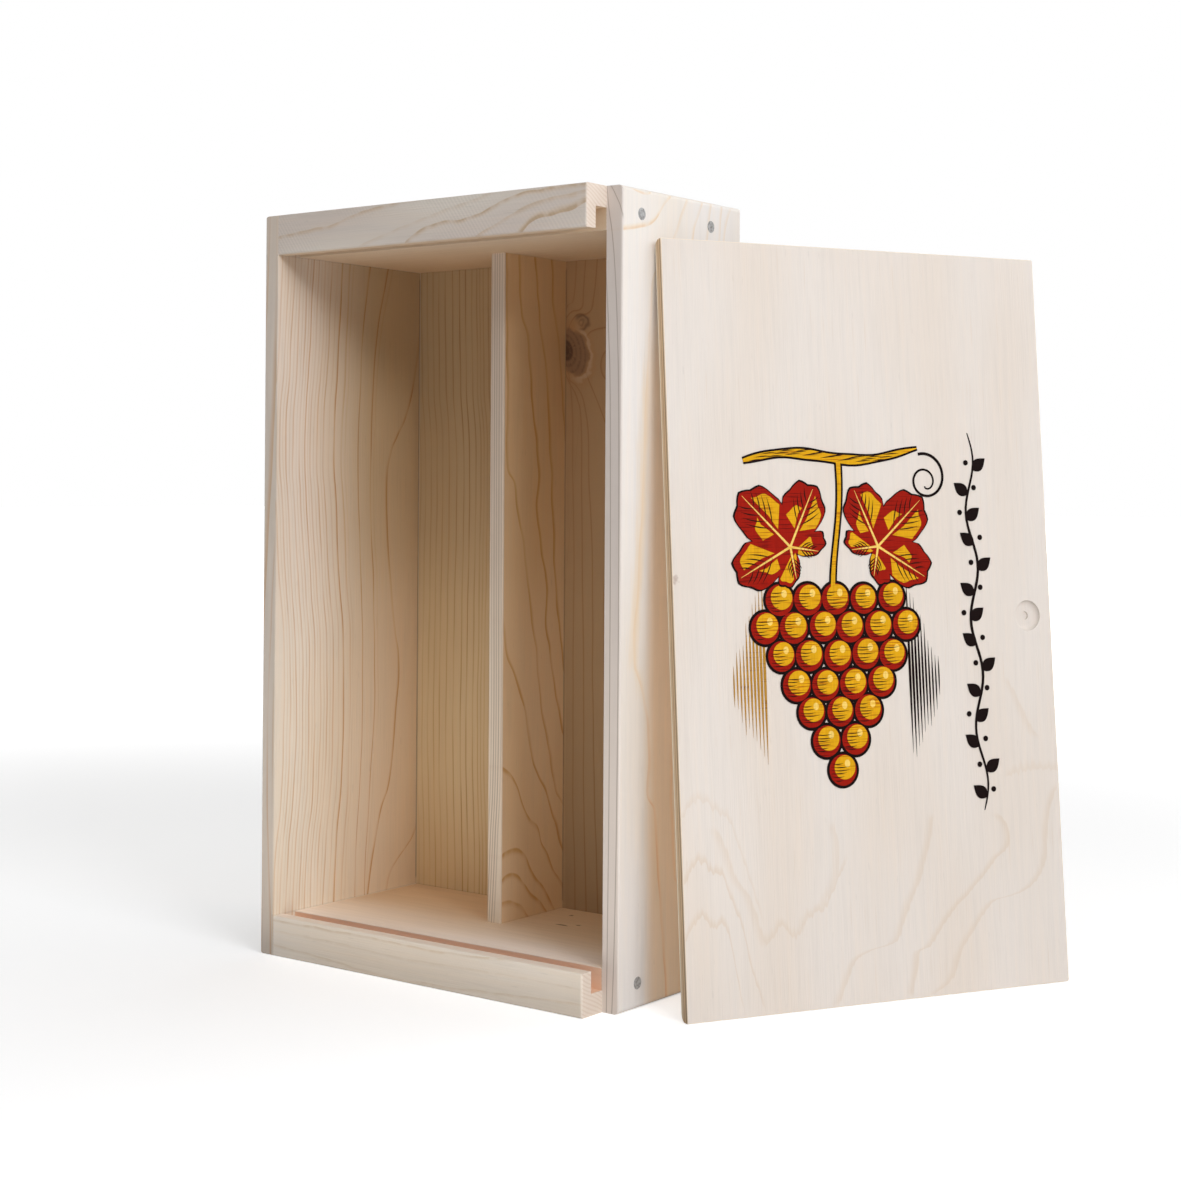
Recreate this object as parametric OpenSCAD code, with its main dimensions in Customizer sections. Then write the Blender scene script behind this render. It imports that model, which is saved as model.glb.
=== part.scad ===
// Upright wooden wine box with a centre divider, shown with its sliding lid taken off
// X runs across the opening, Y from the opening to the back, Z up.
// The origin is the centre of the box's own base.

/* [Box] */
// Height of the box, which stands on its lower end board
box_h = 355; // [330:1:380]
// Width over both side boards
box_w = 203.5; // [190:0.5:230]
// Depth from the front of the left side board to the back
box_d = 107.5; // [96:0.5:125]
// Thickness of the side boards
side_t = 8.5; // [6:0.5:12]
// Thickness of the end boards
end_t = 19; // [16:0.5:24]
// Radius of the sanded outer corners
corner_r = 2.2; // [0.6:0.1:3]
// Radius of the lightly eased arrises
arris_r = 0.8; // [0.2:0.1:1.2]

/* [Lid groove] */
// Thickness of the lip in front of the groove
lip_t = 6.4; // [4:0.1:8]
// Width of the groove in each end board
groove_w = 7.9; // [7:0.1:10]
// Depth of the groove in each end board
groove_d = 9.6; // [6:0.1:12]

/* [Back panel] */
// Thickness of the back panel
back_t = 6; // [4:0.5:8]
// How far the back panel laps over each end board
back_lap = 9; // [6:0.5:12]

/* [Divider] */
// Thickness of the divider
divider_t = 8.4; // [6:0.2:12]
// How far the divider stands out from the back panel
divider_d = 47.5; // [42:0.5:75]
// Clear width of the bay left of the divider
left_bay_w = 88.2; // [70:0.1:100]

/* [Lid] */
// Thickness of the lid
lid_t = 6; // [4:0.1:6.6]
// Play of the lid at the floor of each groove
lid_play = 0.6; // [0.3:0.1:1.5]
// Radius of the back arrises that run in the grooves
lid_slide_r = 3.6; // [1:0.1:3.8]
// Diameter of the finger recess
dimple_d = 14; // [10:0.5:20]
// Depth of the finger recess
dimple_depth = 2.4; // [1:0.1:3]
// Distance from the lid's free edge to the centre of the finger recess
dimple_inset = 12.8; // [11:0.1:24]
// Diameter of the drill's centre mark in the finger recess
pip_d = 4; // [2:0.1:5]
// Depth of the drill's centre mark below the recess
pip_depth = 0.8; // [0.3:0.1:0.9]

/* [Leaning lid] */
// Turn of the lid's foot from the line of the box's front, in degrees
lid_yaw = 61.1; // [50:0.1:80]
// Lean of the lid from upright, in degrees
lid_lean = 5.2; // [3:0.1:10]
// How far the lid's near foot stands behind the box's front
lid_foot_y = 23.5; // [18:0.5:60]
// Gap between the lid's corner and the board that it leans on
lean_gap = 0.3; // [0.1:0.1:0.5]

/* [Corner nails] */
// Length of a corner nail
nail_len = 38; // [25:1:50]
// Diameter of a corner nail's shank
nail_d = 2.4; // [1.8:0.1:3]
// Diameter of a corner nail's head
nail_head_d = 5.4; // [4:0.1:6.5]
// Thickness of a corner nail's head
nail_head_t = 1.2; // [0.8:0.1:1.8]
// Distance of the corner nails from the box's top and bottom
nail_inset = 11.2; // [9:0.1:13]
// Distance of the front row of corner nails from the box's front
nail_front_y = 28.4; // [22:0.1:40]
// Distance of the back row of corner nails from the box's back
nail_back_inset = 25.5; // [20:0.5:35]

/* [Back brads] */
// Number of brads at each end of the back panel
brad_count = 3; // [2:1:5]
// Length of a brad
brad_len = 18; // [12:1:22]
// Diameter of a brad's shank
brad_d = 1.6; // [1.2:0.1:2]
// Diameter of a brad's head
brad_head_d = 3; // [2.2:0.1:3.6]
// Thickness of a brad's head
brad_head_t = 0.8; // [0.5:0.1:1]
// Distance of the outer brads from the edges of the back panel
brad_edge = 16; // [8:1:30]

/* [Divider nails] */
// Distance of the front divider nail from the divider's front edge
divider_nail_front = 10; // [8:0.5:14]
// Distance of the back divider nail from the back panel
divider_nail_back = 18; // [18:0.5:22]

/* [Fits] */
// Room round each nail in its hole
nail_play = 0.05; // [0.02:0.01:0.1]
// How far the heads in the end boards are driven below the face
head_sink = 0.3; // [0.1:0.1:0.5]

/* [Hidden] */
$fn = 48;
// Sides of a nail and of its hole
nail_fn = 20;

// Cuts run this far past the surface that they open
past = 1;

pine_side = [0.90, 0.84, 0.76];
pine_end = [0.84, 0.77, 0.67];
pine_inner = [0.86, 0.76, 0.62];
birch = [0.91, 0.87, 0.81];
steel = [0.50, 0.51, 0.53];

left_x = -box_w / 2;
right_x = box_w / 2;
front_y = -box_d / 2;
back_y = box_d / 2;
inner_left_x = left_x + side_t;
inner_right_x = right_x - side_t;
inner_w = inner_right_x - inner_left_x;
inner_h = box_h - 2 * end_t;
groove_y = front_y + lip_t;
groove_back_y = groove_y + groove_w;
panel_y = back_y - back_t;

divider_x = inner_left_x + left_bay_w;
divider_y = panel_y - divider_d;

lid_w = right_x - inner_left_x;
lid_h = inner_h + 2 * (groove_d - lid_play);
// The round slide arris is the lid's lowest part once it leans
lid_drop = lid_slide_r * (sin(lid_lean) + cos(lid_lean) - 1);
// How far the leaning lid's upper corner reaches back to the box from its foot
lid_reach = sin(lid_yaw) * ((lid_h - lid_slide_r) * sin(lid_lean) + lid_slide_r * (1 - cos(lid_lean)));

// Corner radii of the assembled box seen from the front, the side and above, each
// anticlockwise from the corner nearest the origin of its own plane
front_radii = [corner_r, corner_r, corner_r, corner_r];
side_radii = [arris_r, corner_r, corner_r, arris_r];
plan_radii = [arris_r, arris_r, corner_r, corner_r];

// What is cut off a square corner at the origin to leave an arc of radius r
module corner_waste(r) {
    difference() {
        translate([-past, -past])
            square(r + past);
        translate([r, r])
            circle(r);
    }
}

// Rectangle from the origin with a radius for each corner, anticlockwise from the origin
module eased_rect(w, h, radii) {
    corners = [[0, 0], [w, 0], [w, h], [0, h]];
    difference() {
        square([w, h]);
        for (i = [0 : 3])
            if (radii[i] > 0)
                translate(corners[i])
                    rotate(90 * i)
                        corner_waste(radii[i]);
    }
}

// Extrudes a profile drawn in Y and Z along X
module along_x(length) {
    rotate([90, 0, 90])
        linear_extrude(length)
            children();
}

// Extrudes a profile drawn in X and Z along Y
module along_y(length) {
    translate([0, length, 0])
        rotate([90, 0, 0])
            linear_extrude(length)
                children();
}

// The whole box as sanded after it was nailed together
module sanded_block() {
    translate([left_x, front_y, 0])
        intersection() {
            along_y(box_d)
                eased_rect(box_w, box_h, front_radii);
            along_x(box_w)
                eased_rect(box_d, box_h, side_radii);
            linear_extrude(box_h)
                eased_rect(box_w, box_d, plan_radii);
        }
}

// A nail driven along +Z, with its head's top at the origin
module nail(length, shank_d, head_d, head_t, play = 0) {
    point_l = 1.5 * shank_d;
    tip_d = shank_d / 6;
    translate([0, 0, -play])
        cylinder(h = head_t + 2 * play, d = head_d + 2 * play, $fn = nail_fn);
    translate([0, 0, head_t / 2])
        cylinder(h = length - point_l - head_t / 2, d = shank_d + 2 * play, $fn = nail_fn);
    translate([0, 0, length - point_l])
        cylinder(h = point_l + play, d1 = shank_d + 2 * play, d2 = tip_d + 2 * play, $fn = nail_fn);
}

// Puts its children at each corner nail of one side board, driven towards +X
module at_corner_nails() {
    for (y = [front_y + nail_front_y, back_y - nail_back_inset])
        for (z = [nail_inset, box_h - nail_inset])
            translate([0, y, z])
                rotate([0, 90, 0])
                    children();
}

module corner_nail_row(play = 0) {
    for (side = [0, 1])
        mirror([side, 0, 0])
            translate([left_x, 0, 0])
                at_corner_nails()
                    nail(nail_len, nail_d, nail_head_d, nail_head_t, play);
}

module back_brad_row(play = 0) {
    first_x = inner_left_x + brad_edge;
    pitch = (inner_w - 2 * brad_edge) / (brad_count - 1);
    for (i = [0 : brad_count - 1])
        for (z = [end_t - back_lap / 2, box_h - end_t + back_lap / 2])
            translate([first_x + i * pitch, back_y, z])
                rotate([90, 0, 0])
                    nail(brad_len, brad_d, brad_head_d, brad_head_t, play);
}

// The nails in the lower end board stay clear of what the box stands on
module divider_nail_row(play = 0) {
    for (y = [divider_y + divider_nail_front, panel_y - divider_nail_back])
        translate([divider_x + divider_t / 2, y, 0]) {
            translate([0, 0, head_sink])
                nail(nail_len, nail_d, nail_head_d, nail_head_t, play);
            translate([0, 0, box_h - head_sink])
                rotate([180, 0, 0])
                    nail(nail_len, nail_d, nail_head_d, nail_head_t, play);
        }
}

// Mouths of the two sunk rows of heads, open to the outside
module divider_nail_mouths() {
    for (y = [divider_y + divider_nail_front, panel_y - divider_nail_back])
        for (z = [-past, box_h - head_sink])
            translate([divider_x + divider_t / 2, y, z])
                cylinder(h = head_sink + past, d = nail_head_d + 2 * nail_play, $fn = nail_fn);
}

module side_left() {
    color(pine_side)
        difference() {
            intersection() {
                translate([left_x, front_y, 0])
                    cube([side_t, box_d, box_h]);
                sanded_block();
            }
            corner_nail_row(nail_play);
        }
}

// The right side board stands behind the lid's groove
module side_right() {
    depth = back_y - groove_back_y;
    color(pine_side)
        difference() {
            intersection() {
                translate([inner_right_x, groove_back_y, 0])
                    linear_extrude(box_h)
                        eased_rect(side_t, depth, [0, arris_r, 0, 0]);
                sanded_block();
            }
            corner_nail_row(nail_play);
        }
}

// Section of the lower end board: lip, groove, body and the rabbet for the back panel
module end_section() {
    difference() {
        square([box_d, end_t]);
        translate([lip_t, end_t - groove_d])
            square([groove_w, groove_d + past]);
        translate([box_d - back_t, end_t - back_lap])
            square([back_t + past, back_lap + past]);
        translate([0, end_t])
            rotate(270)
                corner_waste(arris_r);
    }
}

module end_board() {
    intersection() {
        translate([inner_left_x, front_y, 0])
            along_x(inner_w)
                end_section();
        translate([inner_left_x, front_y, 0])
            linear_extrude(end_t)
                eased_rect(inner_w, box_d, [0, arris_r, 0, 0]);
        sanded_block();
    }
}

module end_bottom() {
    color(pine_end)
        difference() {
            end_board();
            corner_nail_row(nail_play);
            back_brad_row(nail_play);
            divider_nail_row(nail_play);
            divider_nail_mouths();
        }
}

module end_top() {
    color(pine_end)
        difference() {
            translate([0, 0, box_h])
                mirror([0, 0, 1])
                    end_board();
            corner_nail_row(nail_play);
            back_brad_row(nail_play);
            divider_nail_row(nail_play);
            divider_nail_mouths();
        }
}

module back_panel() {
    color(pine_inner)
        difference() {
            translate([inner_left_x, panel_y, end_t - back_lap])
                cube([inner_w, back_t, inner_h + 2 * back_lap]);
            back_brad_row(nail_play);
        }
}

module divider() {
    color(pine_inner)
        difference() {
            translate([divider_x, divider_y, end_t])
                linear_extrude(inner_h)
                    eased_rect(divider_t, divider_d, [arris_r, arris_r, 0, 0]);
            divider_nail_row(nail_play);
        }
}

// Finger recess, a shallow bowl with a flat floor and the drill's centre mark,
// opening towards -Z at the origin
module finger_recess() {
    wall_r = dimple_depth;
    floor_r = dimple_d / 2 - wall_r;
    rotate_extrude() {
        translate([0, -past])
            square([dimple_d / 2, past]);
        square([floor_r, dimple_depth]);
        intersection() {
            translate([floor_r, 0])
                circle(wall_r);
            translate([floor_r, 0])
                square([wall_r, wall_r]);
        }
    }
    translate([0, 0, dimple_depth - past / 2])
        cylinder(h = pip_depth + past / 2, d = pip_d);
}

// The lid upright, with its back lower left corner at the origin
module flat_lid() {
    difference() {
        translate([0, -lid_t, 0])
            intersection() {
                along_x(lid_w)
                    eased_rect(lid_t, lid_h, [0, lid_slide_r, lid_slide_r, 0]);
                along_y(lid_t)
                    eased_rect(lid_w, lid_h, [0, arris_r, arris_r, 0]);
            }
        translate([lid_w - dimple_inset, -lid_t, lid_h / 2])
            rotate([-90, 0, 0])
                finger_recess();
    }
}

module lid() {
    color(birch)
        translate([right_x + lean_gap + lid_reach, front_y + lid_foot_y, -lid_drop])
            rotate([0, 0, lid_yaw])
                rotate([-lid_lean, 0, 0])
                    flat_lid();
}

module corner_nails() {
    color(steel)
        corner_nail_row();
}

module back_brads() {
    color(steel)
        back_brad_row();
}

module divider_nails() {
    color(steel)
        divider_nail_row();
}

side_left();
side_right();
end_top();
end_bottom();
back_panel();
divider();
lid();
corner_nails();
back_brads();
divider_nails();
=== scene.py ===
"""Looks of an upright wooden wine box with its lid taken off: woods, nails, floor, light and camera."""
import math
import random

import bpy
from mathutils import Matrix, Vector


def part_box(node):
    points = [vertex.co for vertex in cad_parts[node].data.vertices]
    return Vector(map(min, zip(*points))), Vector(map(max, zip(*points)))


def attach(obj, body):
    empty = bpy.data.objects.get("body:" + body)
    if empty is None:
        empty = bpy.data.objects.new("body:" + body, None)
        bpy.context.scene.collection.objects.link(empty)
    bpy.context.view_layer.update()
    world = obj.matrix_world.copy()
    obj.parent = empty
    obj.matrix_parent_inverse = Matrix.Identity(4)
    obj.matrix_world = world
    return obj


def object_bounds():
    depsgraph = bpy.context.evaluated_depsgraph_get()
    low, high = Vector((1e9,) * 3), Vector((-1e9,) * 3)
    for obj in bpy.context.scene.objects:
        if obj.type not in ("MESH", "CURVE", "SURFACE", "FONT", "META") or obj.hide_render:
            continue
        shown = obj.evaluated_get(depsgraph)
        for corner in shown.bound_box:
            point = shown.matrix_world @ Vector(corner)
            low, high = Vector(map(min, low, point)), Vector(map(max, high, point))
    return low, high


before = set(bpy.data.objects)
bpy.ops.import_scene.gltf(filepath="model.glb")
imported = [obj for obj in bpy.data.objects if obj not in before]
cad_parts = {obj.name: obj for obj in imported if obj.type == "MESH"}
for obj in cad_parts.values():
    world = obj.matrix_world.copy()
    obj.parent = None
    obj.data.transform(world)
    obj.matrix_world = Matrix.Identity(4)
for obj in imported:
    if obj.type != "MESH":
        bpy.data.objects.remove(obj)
cad_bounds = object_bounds()

MM = 0.001

# Camera of the photograph, solved from the box's own edges
PHOTO_PX = 1181
SENSOR_MM = 36.0
FOCAL_PX = 2024.7
AXIS_PX = (590.9, 467.2)
CAMERA_AT = (0.6151, -0.7363, 0.2253)
CAMERA_AZIMUTH = 37.235
CAMERA_ELEVATION = -0.559
CAMERA_ROLL = 0.345

# Far softboxes, as their direction from the box's middle, distance, size, watts and colour
FAR_SOFTBOXES = {
    "key": ((1.0, -0.38, 0.43), 2.0, (0.9, 0.3), 17.5, (0.98, 0.99, 1.02)),
    "overhead": ((0.3, -0.65, 1.0), 1.9, (1.6, 1.6), 11.0, (1.0, 1.0, 1.0)),
}
# Small fills for bounced light, as their place, direction of the back, size, watts, colour and spread
FILLS = {
    "floor_bounce": ((0.02, -0.20, 0.004), (0, 0, -1), (0.45, 0.24), 0.25, (1.0, 0.95, 0.88), 180.0),
    "behind_lid": ((0.165, 0.15, 0.12), (1, 0.5, 0), (0.05, 0.22), 0.05, (1.0, 0.66, 0.38), 100.0),
}

# Dim light all round, which is brighter from behind, and the floor
AMBIENT = 0.04
AMBIENT_BACK = 1.4
AMBIENT_BACK_DIRECTION = (0.55, 0.83, 0.0)
FLOOR_SIZE = 30.0
FLOOR_ALBEDO = 0.86
FLOOR_GLOW = 0.45
FLOOR_FADE = (450.0, 1600.0)

# Colours of the bare woods, as sRGB
PINE_PALE = (0.925, 0.905, 0.885)
# The inner colours are warmer than the outer ones: painted light, standing in for the warm light bounced
# round inside the box.
PINE_INNER = (0.915, 0.85, 0.775)
PINE_INNER_WARM = (0.90, 0.825, 0.735)
# PINE_REAR is painted shade: the inner faces of the sides and ends turn darker and warmer towards the back.
PINE_REAR = (0.86, 0.735, 0.59)
PINE_LATE = (0.81, 0.64, 0.45)
PINE_LATE_DARK = (0.75, 0.53, 0.32)
# The back panel's inner colours, darker and warmer than its outer ones: painted shade and warm bounced light
# inside the box.
PANEL_PALE = (0.86, 0.745, 0.60)
PANEL_WARM = (0.845, 0.72, 0.57)
PANEL_LATE = (0.76, 0.60, 0.41)
PANEL_LATE_DARK = (0.64, 0.45, 0.27)
PANEL_RED = (0.80, 0.61, 0.43)
DIVIDER_PALE = (0.93, 0.805, 0.665)
DIVIDER_WARM = (0.92, 0.785, 0.63)
DIVIDER_LATE = (0.84, 0.66, 0.44)
DIVIDER_LATE_DARK = (0.83, 0.625, 0.41)
# The upper end's colours are darker than the lower end's: painted shade high up.
END_PALE = (0.865, 0.815, 0.775)
END_WARM = (0.915, 0.88, 0.835)
END_LATE = (0.84, 0.745, 0.64)
END_LATE_DARK = (0.775, 0.67, 0.55)
CUT_END_PALE = (0.89, 0.83, 0.775)
CUT_END_LATE = (0.85, 0.775, 0.705)
# The lower end is paler than the upper one: painted light near the floor.
BOTTOM_PALE = (0.985, 0.945, 0.895)
OUTER_LATE = (0.895, 0.81, 0.70)
OUTER_LATE_DARK = (0.865, 0.755, 0.63)
# The grooves' colours are warmer than the wood round them: painted light, for the warm light bounced in the
# grooves.
GROOVE = (0.955, 0.79, 0.665)
GROOVE_TOP = (0.86, 0.755, 0.63)
BIRCH_PALE = (0.872, 0.836, 0.802)
BIRCH_WARM = (0.866, 0.82, 0.775)
BIRCH_LATE = (0.83, 0.75, 0.665)
BIRCH_SPECK = (0.62, 0.50, 0.44)
PLY_TAN = (0.90, 0.845, 0.775)
KNOT_RIM = (0.60, 0.46, 0.34)
KNOT_HEART = (0.34, 0.24, 0.18)
EDGE_LINE = (0.53, 0.44, 0.37)
RESIN = (0.93, 0.80, 0.58)
SEAM = (0.35, 0.26, 0.19)
STEEL_PALE = (0.70, 0.70, 0.70)
STEEL_DARK = (0.54, 0.53, 0.52)

# Painted warm light in the lid's shade on the board that it leans on: a factor on its colour, and where it
# sets in
PAINTED_SHADE_WARMTH = (1.2, 1.03, 0.84, 1.0)
SHADE_FROM_Y = (-23.0, -13.0)
SHADE_BELOW_Z = (325.0, 270.0)

# Painted light and shade on the inner faces and front edges, as factors on their colour: front top, front
# low, back top, back low. The levels say how much of the low factor there is at a height, the depths where
# front turns into back. High up and towards the back they darken the colour as painted shade, low down they
# brighten it as painted light.
PAINTED_SHADING_LEVELS = [(19, 1), (68, 1), (154, 0.62), (217, 0.08), (260, 0), (336, 0)]
PAINTED_SHADING_DEPTHS = (-38.0, 14.0)
# Where the painted shade of PINE_REAR sets in towards the back
REAR_DEPTHS = (-42.0, 38.0)
INNER_PAINTED_SHADING = ((0.97, 1.0, 1.06), (1.08, 1.16, 1.22), (0.70, 0.67, 0.58), (1.10, 1.18, 1.26))
PANEL_PAINTED_SHADING = ((0.72, 0.70, 0.64), (1.08, 1.16, 1.14)) * 2
DIVIDER_PAINTED_SHADING = ((0.95, 0.92, 0.82), (1.10, 1.13, 1.12), (0.92, 0.88, 0.76), (1.10, 1.13, 1.12))
CEILING_PAINTED_SHADE = ((0.87, 0.825, 0.76),) * 4
FLOOR_PAINTED_SHADING = ((1.22, 1.27, 1.39), (1.22, 1.27, 1.39), (0.96, 0.90, 0.83), (0.96, 0.90, 0.83))
DIVIDER_EDGE_PAINTED_SHADING = ((0.81, 0.72, 0.64), (1.08, 0.99, 0.86)) * 2
EDGE_PAINTED_SHADING = ((0.82, 0.76, 0.73), (0.97, 0.90, 0.85)) * 2

# Plies of the lid's edge, as (depth from the front face, colour)
PLIES = [
    (0.0, (0.93, 0.87, 0.79)), (0.9, (0.93, 0.87, 0.79)), (1.0, (0.60, 0.48, 0.36)),
    (2.1, (0.74, 0.62, 0.49)), (2.2, (0.86, 0.76, 0.62)), (3.2, (0.83, 0.72, 0.58)),
    (3.3, (0.62, 0.49, 0.36)), (3.7, (0.70, 0.57, 0.43)), (3.8, (0.87, 0.78, 0.66)),
    (5.0, (0.80, 0.69, 0.55)), (5.1, (0.93, 0.88, 0.80)),
]

# Inks of the printed design, as sRGB, each with the tone that it takes where it is heavier
PRINT_INKS = {
    "hatch": ((0.70, 0.52, 0.20), (0.42, 0.24, 0.08)),
    "black": ((0.08, 0.03, 0.025), (0.04, 0.02, 0.02)),
    "red": ((0.60, 0.09, 0.03), (0.34, 0.04, 0.02)),
    "gold": ((0.86, 0.64, 0.08), (0.66, 0.34, 0.04)),
    "light": ((0.94, 0.80, 0.42), (0.86, 0.66, 0.20)),
    "lines": ((0.17, 0.06, 0.03), (0.10, 0.03, 0.02)),
}

# The printed design, in millimetres across and up the lid: grapes in rows from the top, leaves as their
# stalk, size and turn, the garland as its middle and ends, hatching as its side, start and ink
GRAPE_ROWS = (5, 6, 5, 4, 3, 2, 1)
BUNCH_AT = (80.0, 177.0)
GRAPE_STEP = (14.3, 12.5)
GRAPE_RADIUS = 6.75
LEAVES = (((58.0, 200.0), 28.0, 46.0), ((103.0, 200.0), 27.0, -48.0))
GARLAND = (153.5, 80.0, 252.0)
HATCHES = ((-1, 38.0, "hatch"), (1, 122.0, "black"))

# Thickness of the print: the lowest ink, what each later ink adds, and what keeps neighbours apart
INK_BASE = 0.02
INK_LAYER = 0.014
INK_STEP = 0.001


def linear(colour):
    """An sRGB colour as the linear RGBA that a socket takes."""
    channels = [c / 12.92 if c <= 0.04045 else ((c + 0.055) / 1.055) ** 2.4 for c in colour]
    return (*channels, 1.0)


class Field:
    """A number that varies over a surface, with arithmetic that adds the nodes it needs."""

    def __init__(self, graph, socket):
        self.graph = graph
        self.socket = socket

    def __add__(self, other):
        return self.graph.math("ADD", self, other)

    def __sub__(self, other):
        return self.graph.math("SUBTRACT", self, other)

    def __rsub__(self, other):
        return self.graph.math("SUBTRACT", other, self)

    def __mul__(self, other):
        return self.graph.math("MULTIPLY", self, other)

    def __truediv__(self, other):
        return self.graph.math("DIVIDE", self, other)

    __radd__ = __add__
    __rmul__ = __mul__


class Graph:
    """The node tree of a material or world, built from fields. Lengths in it are millimetres."""

    def __init__(self, owner):
        self.owner = owner
        owner.use_nodes = True
        self.tree = owner.node_tree
        self.tree.nodes.clear()

    def add(self, kind, inputs=None, **settings):
        node = self.tree.nodes.new("ShaderNode" + kind)
        for name, value in settings.items():
            setattr(node, name, value)
        for name, value in (inputs or {}).items():
            self.feed(node.inputs[name], value)
        return node

    def feed(self, socket, value):
        if isinstance(value, Field):
            self.tree.links.new(value.socket, socket)
        else:
            socket.default_value = value

    def math(self, operation, *values):
        node = self.add("Math", operation=operation)
        for socket, value in zip(node.inputs, values):
            self.feed(socket, value)
        return Field(self, node.outputs[0])

    def least(self, a, b):
        return self.math("MINIMUM", a, b)

    def most(self, a, b):
        return self.math("MAXIMUM", a, b)

    def size(self, a):
        return self.math("ABSOLUTE", a)

    def distance(self, a, b):
        """Length of the vector (a, b)."""
        return self.math("SQRT", a * a + b * b)

    def position(self):
        """The surface point's X, Y and Z in the row frame."""
        node = self.add("SeparateXYZ")
        source = self.add("TexCoord")
        self.tree.links.new(source.outputs["Object"], node.inputs[0])
        return [Field(self, out) / MM for out in node.outputs]

    def ramp(self, value, start, end):
        """Smooth step that goes from 0 at start to 1 at end."""
        if start > end:
            return 1.0 - self.ramp(value, end, start)
        inputs = {"Value": value, "From Min": start, "From Max": end}
        node = self.add("MapRange", inputs, interpolation_type="SMOOTHSTEP")
        return Field(self, node.outputs[0])

    def line(self, distance, half_width, blur):
        """1 where a distance to a line is below its half width, 0 outside."""
        return self.ramp(distance, half_width + blur, half_width)

    def streak(self, offset, soft, crisp):
        """A late-wood line at 0 that fades slowly on its low side and sharply on its high side."""
        return self.least(self.ramp(offset, -soft, 0.0), self.ramp(offset, crisp, 0.0))

    def curve(self, value, points):
        """A smooth curve through points (value, result), flat beyond its ends."""
        starts, results = zip(*points)
        low, span = min(starts), max(starts) - min(starts)
        base, rise = min(results), max(results) - min(results)
        node = self.add("FloatCurve", {"Value": (value - low) / span})
        spline = node.mapping.curves[0]
        places = [((a - low) / span, (b - base) / rise) for a, b in points]
        spline.points[0].location = places[0]
        spline.points[1].location = places[-1]
        for place in places[1:-1]:
            spline.points.new(*place)
        node.mapping.update()
        return Field(self, node.outputs[0]) * rise + base

    def stops(self, value, low, high, colours):
        """A colour ramp from low to high through (value, colour) stops."""
        node = self.add("ValToRGB", {"Fac": (value - low) / (high - low)})
        elements = node.color_ramp.elements
        places = [((at - low) / (high - low), colour) for at, colour in colours]
        elements[0].position, elements[0].color = places[0]
        elements[-1].position, elements[-1].color = places[-1]
        for at, colour in places[1:-1]:
            elements.new(at).color = colour
        return Field(self, node.outputs[0])

    def profile(self, value, lines, soft, crisp):
        """Late-wood lines side by side, given as (place, strength) in rising order."""
        black = (0.0, 0.0, 0.0, 1.0)
        colours = []
        for at, strength in lines:
            colours += [(at - soft, black), (at, (strength, strength, strength, 1.0)), (at + crisp, black)]
        return self.stops(value, colours[0][0], colours[-1][0], colours)

    def bands(self, value, plies):
        """Plies side by side, given as (place, sRGB colour) in rising order."""
        return self.stops(value, plies[0][0], plies[-1][0], [(at, linear(colour)) for at, colour in plies])

    def bell(self, value, centre, width):
        """Smooth hump of height 1 at a centre, nearly gone one and a half widths away."""
        offset = (value - centre) / width
        return self.math("EXPONENT", offset * offset * -1.0)

    def noise(self, x, y, z, seed=0.0, detail=0.0):
        """Smooth noise about 0, mostly within -1 to 1, with features about 1 apart."""
        point = self.add("CombineXYZ", {"X": x + seed, "Y": y, "Z": z})
        node = self.add("TexNoise", {"Scale": 1.0, "Detail": detail})
        self.tree.links.new(point.outputs[0], node.inputs["Vector"])
        return (Field(self, node.outputs[0]) - 0.5) * 4.0

    def noise_along(self, x, seed=0.0):
        """Smooth noise of one number, about 0, mostly within -1 to 1."""
        node = self.add("TexNoise", {"W": x + seed, "Scale": 1.0, "Detail": 0.0}, noise_dimensions="1D")
        return (Field(self, node.outputs[0]) - 0.5) * 4.0

    def dice(self, number, seed=0.0):
        """A random value from 0 to 1 for each whole number."""
        node = self.add("TexWhiteNoise", {"W": number + seed}, noise_dimensions="1D")
        return Field(self, node.outputs[0])

    def mix(self, a, b, factor, blend="MIX"):
        """Colour a where factor is 0, colour b where it is 1."""
        node = self.add("Mix", data_type="RGBA", blend_type=blend)
        self.feed(node.inputs[0], factor)
        self.feed(node.inputs[6], a)
        self.feed(node.inputs[7], b)
        return Field(self, node.outputs[2])

    def shade(self, colour, factor):
        """A colour made lighter or darker by a factor near 1."""
        node = self.add("VectorMath", operation="SCALE")
        self.feed(node.inputs[0], colour)
        self.feed(node.inputs["Scale"], factor)
        return Field(self, node.outputs[0])

    def finish(self, colour, roughness, height, depth, specular=0.35, metallic=0.0):
        """Puts the shader at the end of the tree, with a bump of a given depth."""
        bump = self.add("Bump", {"Height": height, "Distance": depth * MM, "Strength": 1.0})
        shader = self.add("BsdfPrincipled", {"Base Color": colour, "Roughness": roughness})
        shader.inputs["Specular IOR Level"].default_value = specular
        shader.inputs["Metallic"].default_value = metallic
        self.tree.links.new(bump.outputs[0], shader.inputs["Normal"])
        output = self.add("OutputMaterial")
        self.tree.links.new(shader.outputs[0], output.inputs["Surface"])
        return self.owner


def new_graph(name):
    """The graph of a new material."""
    return Graph(bpy.data.materials.new(name))


def box_mm(node):
    """Lowest and highest corner of a node, in millimetres."""
    low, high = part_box(node)
    return low / MM, high / MM


def edge_nearness(g, position, node, reach):
    """1 on the arrises of a board, falling to 0 at a given reach from them."""
    low, high = box_mm(node)
    gaps = [g.least(p - low[i], high[i] - p) for i, p in enumerate(position)]
    first = g.least(gaps[0], gaps[1])
    second = g.most(gaps[0], gaps[1])
    middle = g.most(first, g.least(second, gaps[2]))
    return g.ramp(middle, reach, 0.0)


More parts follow.
